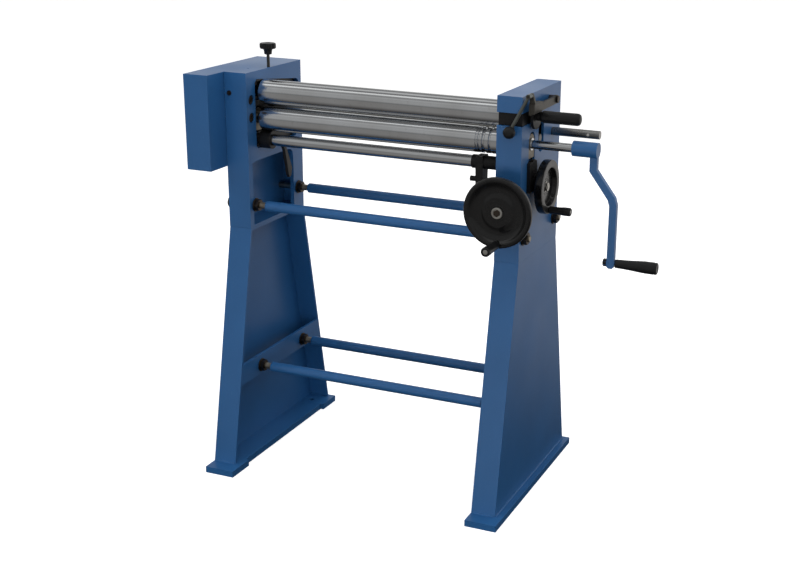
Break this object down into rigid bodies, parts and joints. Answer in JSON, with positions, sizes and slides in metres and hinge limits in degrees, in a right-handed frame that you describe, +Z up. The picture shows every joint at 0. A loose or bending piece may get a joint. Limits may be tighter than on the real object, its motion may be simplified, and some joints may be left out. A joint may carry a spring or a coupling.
{
  "type": "slip roll machine",
  "caption": "Slip roll for curving sheet metal: long steel rolls between two blue columns on splayed stands, with a cranked drive, handwheels and a swing-out top roll.",
  "frame": {"origin": "on the floor, at the centre of the four anchor holes and midway between the two columns", "axes": "+X along the rolls towards the crank, +Y to the back of the machine, +Z up"},
  "size_m": [1.132, 0.538, 1.04],
  "materials": {
    "blue_paint": "semi-gloss enamel",
    "black_paint": "satin black",
    "black_casting": "gloss black enamel",
    "ground_steel": "ground and polished",
    "turned_steel": "turned",
    "dark_steel": "blackened and oiled",
    "oiled_steel": "plain, oiled",
    "black_plastic": "moulded, glossy"
  },
  "bodies": {
    "frame": {"stand_left": "blue_paint", "stand_right": "blue_paint", "column_left": "blue_paint", "column_right": "blue_paint", "bearing_plate_left": "black_paint", "bearing_plate_right": "black_paint", "gear_cover": "blue_paint", "tie_tube_upper_front": "blue_paint", "tie_stud_upper_front": "dark_steel", "tie_tube_upper_rear": "blue_paint", "tie_stud_upper_rear": "dark_steel", "tie_tube_lower_front": "blue_paint", "tie_stud_lower_front": "dark_steel", "tie_tube_lower_rear": "blue_paint", "tie_stud_lower_rear": "dark_steel", "lift_end_plate": "black_paint", "wheel_front_bush": "black_casting", "wheel_side_bush": "black_casting", "latch_pin": "turned_steel"},
    "lower_carriage": {"lower_block_left": "oiled_steel", "lower_block_right": "oiled_steel"},
    "lower_roll": {"lower_roll": "ground_steel", "gear_lower": "turned_steel", "crank_arm": "blue_paint"},
    "crank_grip": {"crank_grip": "black_plastic"},
    "top_carriage": {"top_swivel": "black_paint", "top_bush": "black_paint", "top_grip": "black_plastic"},
    "top_roll": {"top_roll": "ground_steel"},
    "top_gear": {"gear_top": "turned_steel"},
    "rear_carriage": {"rear_shaft": "turned_steel", "rear_arm_left": "black_paint", "rear_arm_right": "black_paint"},
    "rear_roll": {"rear_roll": "ground_steel"},
    "lift": {"lift_shaft": "turned_steel", "lift_sector": "turned_steel", "lift_arm_right": "black_paint", "lift_arm_left": "black_paint", "lift_collar": "black_paint"},
    "front_wheel": {"wheel_front": "black_casting", "wheel_front_shaft": "turned_steel"},
    "front_wheel_grip": {"wheel_front_grip": "black_plastic"},
    "side_wheel": {"wheel_side": "black_casting", "wheel_side_shaft": "turned_steel"},
    "side_wheel_grip": {"wheel_side_grip": "black_plastic"},
    "latch": {"latch_bar": "oiled_steel"},
    "latch_lever": {"latch_lever": "turned_steel", "latch_ball": "black_plastic"},
    "star_knob": {"star_knob": "black_plastic"}
  },
  "joints": [
    {"name": "lower_lift", "type": "slide", "parent": "frame", "child": "lower_carriage", "axis": [0, 0, 1], "range_m": [0, 0.004]},
    {"name": "lower_spin", "type": "hinge", "parent": "lower_carriage", "child": "lower_roll", "pos_m": [0, -0.063, 0.8645], "axis": [1, 0, 0], "continuous": true},
    {"name": "crank_grip_spin", "type": "hinge", "parent": "lower_roll", "child": "crank_grip", "pos_m": [0.64, -0.063, 0.61], "axis": [1, 0, 0], "continuous": true},
    {"name": "top_swing", "type": "hinge", "parent": "frame", "child": "top_carriage", "pos_m": [-0.35, -0.063, 0.9291], "axis": [0, 0, 1], "range_deg": [-12, 0]},
    {"name": "top_spin", "type": "hinge", "parent": "top_carriage", "child": "top_roll", "pos_m": [0, -0.063, 0.9291], "axis": [1, 0, 0], "continuous": true},
    {"name": "top_gear_spin", "type": "hinge", "parent": "frame", "child": "top_gear", "pos_m": [-0.39, -0.063, 0.9291], "axis": [1, 0, 0], "continuous": true},
    {"name": "rear_swing", "type": "hinge", "parent": "frame", "child": "rear_carriage", "pos_m": [0, 0.078, 0.87], "axis": [1, 0, 0], "range_deg": [-20, 0]},
    {"name": "rear_spin", "type": "hinge", "parent": "rear_carriage", "child": "rear_roll", "pos_m": [0, -0.001, 0.867], "axis": [1, 0, 0], "continuous": true},
    {"name": "lift_turn", "type": "hinge", "parent": "frame", "child": "lift", "pos_m": [0, -0.063, 0.812], "axis": [1, 0, 0], "range_deg": [0, 23.6]},
    {"name": "front_wheel_turn", "type": "hinge", "parent": "frame", "child": "front_wheel", "pos_m": [0.3455, -0.18, 0.728], "axis": [0, 1, 0], "range_deg": [0, 1360]},
    {"name": "front_grip_spin", "type": "hinge", "parent": "front_wheel", "child": "front_wheel_grip", "pos_m": [0.347, -0.22, 0.657], "axis": [0, 1, 0], "continuous": true},
    {"name": "side_wheel_turn", "type": "hinge", "parent": "frame", "child": "side_wheel", "pos_m": [0.402, -0.0245, 0.7605], "axis": [1, 0, 0], "range_deg": [0, 180]},
    {"name": "side_grip_spin", "type": "hinge", "parent": "side_wheel", "child": "side_wheel_grip", "pos_m": [0.44, -0.03, 0.708], "axis": [1, 0, 0], "continuous": true},
    {"name": "latch_lift", "type": "hinge", "parent": "frame", "child": "latch", "pos_m": [0.395, 0.048, 0.951], "axis": [-1, 0, 0], "range_deg": [0, 25]},
    {"name": "latch_lever_turn", "type": "hinge", "parent": "latch", "child": "latch_lever", "pos_m": [0.395, -0.134, 0.984], "axis": [0, 1, 0], "range_deg": [0, 156]},
    {"name": "knob_turn", "type": "hinge", "parent": "frame", "child": "star_knob", "pos_m": [-0.325, -0.017, 1.03], "axis": [0, 0, 1], "continuous": true}
  ],
  "couplings": [
    {"joint": "top_spin", "follows": "lower_spin", "ratio": -1},
    {"joint": "top_gear_spin", "follows": "lower_spin", "ratio": -1},
    {"joint": "lift_turn", "follows": "lower_lift", "rad_per_m": 102.9},
    {"joint": "front_wheel_turn", "follows": "lower_lift", "rad_per_m": 5926},
    {"joint": "side_wheel_turn", "follows": "rear_swing", "ratio": -9},
    {"joint": "latch_lever_turn", "follows": "top_swing", "ratio": -13}
  ]
}
